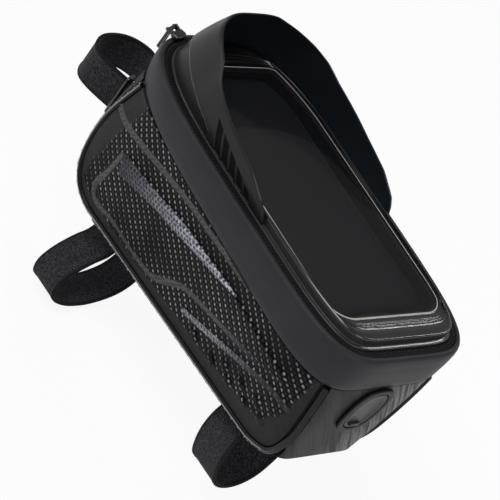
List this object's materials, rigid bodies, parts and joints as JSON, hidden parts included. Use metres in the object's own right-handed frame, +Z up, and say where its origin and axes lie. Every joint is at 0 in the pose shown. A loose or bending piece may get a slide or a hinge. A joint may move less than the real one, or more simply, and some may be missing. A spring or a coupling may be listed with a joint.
{
  "type": "bicycle frame bag",
  "caption": "Hard-shell bicycle frame bag with embossed sides, a zipped lid with a clear window and sun visor, a rear cable port and hook-and-loop straps.",
  "frame": {"origin": "middle of the seat pad's underside, where the bag rests on the tube, below the middle of the lid", "axes": "+X towards the handlebar along the lid, +Y to the rider's left, +Z up, square to the lid"},
  "size_m": [0.2594, 0.104, 0.1894],
  "materials": {
    "moulded_side": "embossed carbon-look laminate, satin",
    "end_wall": "fine-grained laminate, satin",
    "rim_band": "soft laminate, satin",
    "piping_and_webbing": "woven, matte",
    "zip_tape": "coated tape, satin",
    "gloss_plastic": "gloss",
    "visor_plastic": "satin",
    "clear_film": "clear flexible film",
    "padded_lining": "brushed lining over foam",
    "rubber": "matte",
    "hook_and_loop": "loop pile",
    "coated_metal": "satin black coat"
  },
  "bodies": {
    "bag": {"shell_left": "moulded_side", "shell_right": "moulded_side", "gusset": "end_wall", "piping_left": "piping_and_webbing", "piping_right": "piping_and_webbing", "rim_band": "rim_band", "zip_tape_body": "zip_tape", "hinge_leaf_body": "zip_tape", "port_grommet": "rubber", "seat_pad": "rubber", "strap_mid": "hook_and_loop", "keeper_mid": "piping_and_webbing", "ring_mid": "gloss_plastic", "strap_rear": "hook_and_loop", "keeper_rear": "piping_and_webbing", "ring_rear": "gloss_plastic", "strap_front": "hook_and_loop", "keeper_front": "piping_and_webbing", "ring_front": "gloss_plastic"},
    "lid": {"lid_frame": "gloss_plastic", "zip_tape_lid": "zip_tape", "hinge_leaf_lid": "zip_tape", "window_film": "clear_film", "window_gasket": "rubber", "sun_visor": "visor_plastic", "retainer_pad": "padded_lining", "retainer_tab": "hook_and_loop"},
    "zip_slider": {"zip_slider": "coated_metal"},
    "zip_puller": {"zip_puller": "coated_metal"},
    "port_flap": {"port_flap": "rubber"}
  },
  "joints": [
    {"name": "lid_hinge", "type": "hinge", "parent": "bag", "child": "lid", "pos_m": [0.1045, 0, 0.0984], "axis": [0, 1, 0], "range_deg": [0, 100]},
    {"name": "zip_travel", "type": "hinge", "parent": "bag", "child": "zip_slider", "pos_m": [0.06001, -0.00081, 0.0991], "axis": [0, 0, 1], "range_deg": [0, 72]},
    {"name": "zip_pull_flip", "type": "hinge", "parent": "zip_slider", "child": "zip_puller", "pos_m": [0.10881, 0.02061, 0.0991], "axis": [0.4019, -0.9157, 0], "range_deg": [0, 80]},
    {"name": "port_flap_hinge", "type": "hinge", "parent": "bag", "child": "port_flap", "pos_m": [-0.10428, 0, 0.06906], "axis": [0, 1, 0], "range_deg": [0, 60]}
  ]
}
